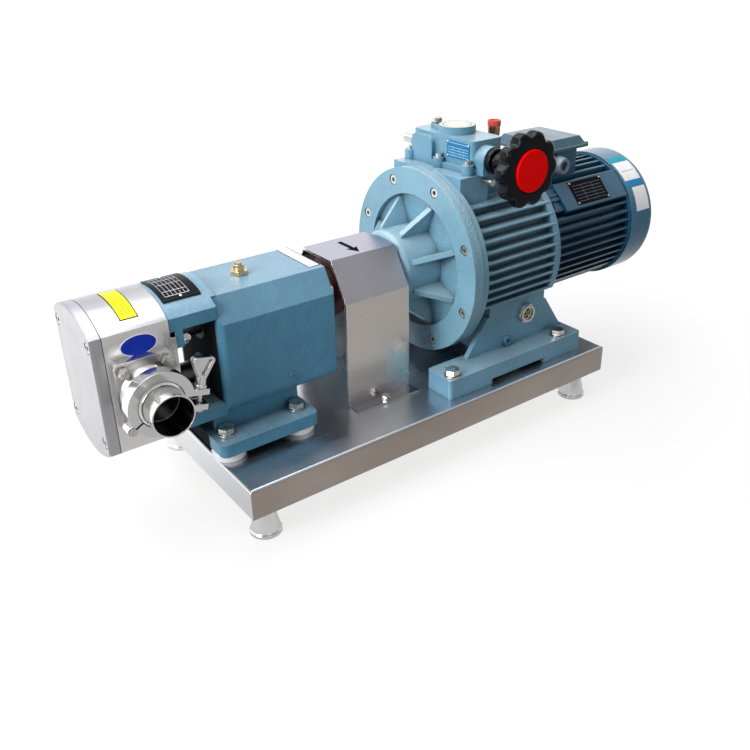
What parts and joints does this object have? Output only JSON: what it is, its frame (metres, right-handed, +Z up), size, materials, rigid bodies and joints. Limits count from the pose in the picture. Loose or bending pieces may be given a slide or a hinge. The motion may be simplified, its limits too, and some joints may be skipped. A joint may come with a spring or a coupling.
{
  "type": "rotary lobe pump",
  "caption": "Stainless rotary lobe pump with clamped ports on a base tray, driven through a guarded coupling by a stepless variator with handwheel and a fan-cooled motor.",
  "frame": {"origin": "middle of the overall length and width, on the plane the four feet stand on", "axes": "+X along the shafts from the pump head to the motor's fan cowl, +Z up; -Y is the side of the outlet port and the handwheel"},
  "size_m": [0.935, 0.32, 0.4545],
  "materials": {
    "tray_steel": "brushed stainless sheet, satin top",
    "polished_steel": "polished stainless steel",
    "head_steel": "satin stainless casting, machined faces",
    "zinc_steel": "zinc plated screws",
    "rotor_steel": "fine turned stainless steel",
    "shaft_steel": "ground steel",
    "teal_paint": "semi gloss teal paint on cast iron",
    "variator_paint": "semi gloss pale blue-grey paint",
    "motor_paint": "semi gloss dark blue-green paint",
    "cast_iron": "bare casting inside the case",
    "coupling_paint": "dark red paint",
    "guard_steel": "satin stainless sheet",
    "brass": "bare brass",
    "white_plastic": "white pads and sealing rings",
    "black_rubber": "black rubber lips and spider",
    "black_plastic": "glossy black phenolic",
    "red_plastic": "red moulded cap",
    "dial_plastic": "cream dial under a clear cover",
    "gland_plastic": "grey-violet polyamide",
    "copper_steel": "laminated core with wound ends"
  },
  "bodies": {
    "frame": {"base_tray": "tray_steel", "base_feet": "polished_steel", "front_cover": "head_steel", "cover_screws": "zinc_steel", "sealing_rings": "white_plastic", "rotor_casing": "head_steel", "casing_nuts": "polished_steel", "shaft_seals": "rotor_steel", "port_flanges": "polished_steel", "port_screws": "zinc_steel", "port_stubs": "polished_steel", "clamp_halves": "polished_steel", "clamp_bolts": "zinc_steel", "gear_housing": "teal_paint", "gear_rear_cover": "teal_paint", "ball_bearings": "shaft_steel", "oil_seals": "black_rubber", "filler_plug": "brass", "drain_plugs": "zinc_steel", "mounting_pads": "white_plastic", "foot_bolts": "zinc_steel", "coupling_guard": "guard_steel", "guard_screws": "zinc_steel", "variator_housing": "variator_paint", "output_cover": "variator_paint", "housing_screws": "zinc_steel", "pressure_rings": "cast_iron", "control_box": "variator_paint", "dial_glass": "dial_plastic", "breather": "brass", "breather_cap": "red_plastic", "sight_glass": "zinc_steel", "motor_frame": "motor_paint", "stator_core": "copper_steel", "fan_cowl": "motor_paint", "terminal_box": "motor_paint", "terminal_lid": "motor_paint", "cable_gland": "gland_plastic"},
    "drive_train": {"drive_shaft": "shaft_steel", "drive_gear": "shaft_steel", "upper_rotor": "rotor_steel", "upper_rotor_nut": "rotor_steel", "pump_coupling_half": "coupling_paint", "coupling_spider": "black_rubber", "drive_coupling_half": "coupling_paint", "output_shaft": "shaft_steel", "planet_discs": "shaft_steel"},
    "driven_train": {"driven_shaft": "shaft_steel", "driven_gear": "shaft_steel", "lower_rotor": "rotor_steel", "lower_rotor_nut": "rotor_steel"},
    "motor_spindle": {"motor_rotor": "shaft_steel", "motor_fan": "black_plastic", "sun_discs": "shaft_steel"},
    "speed_wheel": {"handwheel": "black_plastic", "handwheel_cap": "red_plastic", "adjusting_screw": "shaft_steel"},
    "dial_hand": {"dial_pointer": "black_plastic"},
    "outlet_nut": {"outlet_wing_nut": "polished_steel"},
    "inlet_nut": {"inlet_wing_nut": "polished_steel"}
  },
  "joints": [
    {"name": "motor_spin", "type": "hinge", "parent": "frame", "child": "motor_spindle", "pos_m": [0.3, 0, 0.25], "axis": [1, 0, 0], "continuous": true},
    {"name": "drive_spin", "type": "hinge", "parent": "frame", "child": "drive_train", "pos_m": [-0.3, 0, 0.25], "axis": [1, 0, 0], "continuous": true},
    {"name": "driven_spin", "type": "hinge", "parent": "frame", "child": "driven_train", "pos_m": [-0.3, 0, 0.184], "axis": [1, 0, 0], "continuous": true},
    {"name": "wheel_turn", "type": "hinge", "parent": "frame", "child": "speed_wheel", "pos_m": [0.1095, -0.1, 0.403], "axis": [0, -1, 0], "range_deg": [0, 3600]},
    {"name": "dial_turn", "type": "hinge", "parent": "frame", "child": "dial_hand", "pos_m": [0.1155, 0, 0.43], "axis": [0, 0, -1], "range_deg": [0, 300]},
    {"name": "outlet_nut_turn", "type": "hinge", "parent": "frame", "child": "outlet_nut", "pos_m": [-0.36657, -0.106, 0.20681], "axis": [0.2079, 0, 0.9781], "range_deg": [0, 1440]},
    {"name": "inlet_nut_turn", "type": "hinge", "parent": "frame", "child": "inlet_nut", "pos_m": [-0.36657, 0.106, 0.20681], "axis": [0.2079, 0, 0.9781], "range_deg": [0, 1440]}
  ],
  "couplings": [
    {"joint": "drive_spin", "follows": "motor_spin", "ratio": 0.25},
    {"joint": "driven_spin", "follows": "motor_spin", "ratio": -0.25},
    {"joint": "dial_turn", "follows": "wheel_turn", "ratio": 0.083333}
  ]
}
